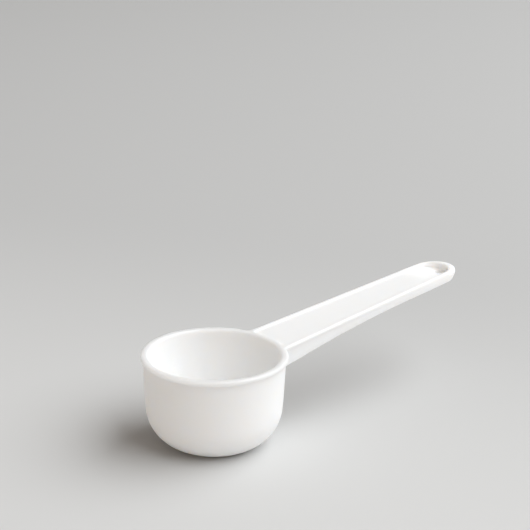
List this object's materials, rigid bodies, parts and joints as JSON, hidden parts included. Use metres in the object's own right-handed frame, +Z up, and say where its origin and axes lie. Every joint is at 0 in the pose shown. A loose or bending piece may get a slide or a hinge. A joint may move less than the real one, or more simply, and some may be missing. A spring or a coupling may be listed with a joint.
{
  "type": "measuring scoop",
  "caption": "White plastic kitchen measuring scoop: round cup with a rolled lip and a rising channel handle that ends in a dished hanging eye.",
  "frame": {"origin": "centre of the flat foot under the bowl, on the bowl's axis", "axes": "+X from the bowl along the handle, +Y to the left of the handle, +Z up through the mouth of the bowl"},
  "size_m": [0.1251, 0.0452, 0.0381],
  "materials": {
    "satin_plastic": "smooth satin moulded polypropylene, slightly translucent white",
    "polished_plastic": "the same white polypropylene, polished along the lip and the handle's border"
  },
  "bodies": {
    "root": {"bowl_shell": "satin_plastic", "rim_lip": "polished_plastic", "handle_border": "polished_plastic", "handle_web": "satin_plastic", "side_rail_left": "satin_plastic", "side_rail_right": "satin_plastic", "hang_eye": "satin_plastic"}
  },
  "joints": []
}
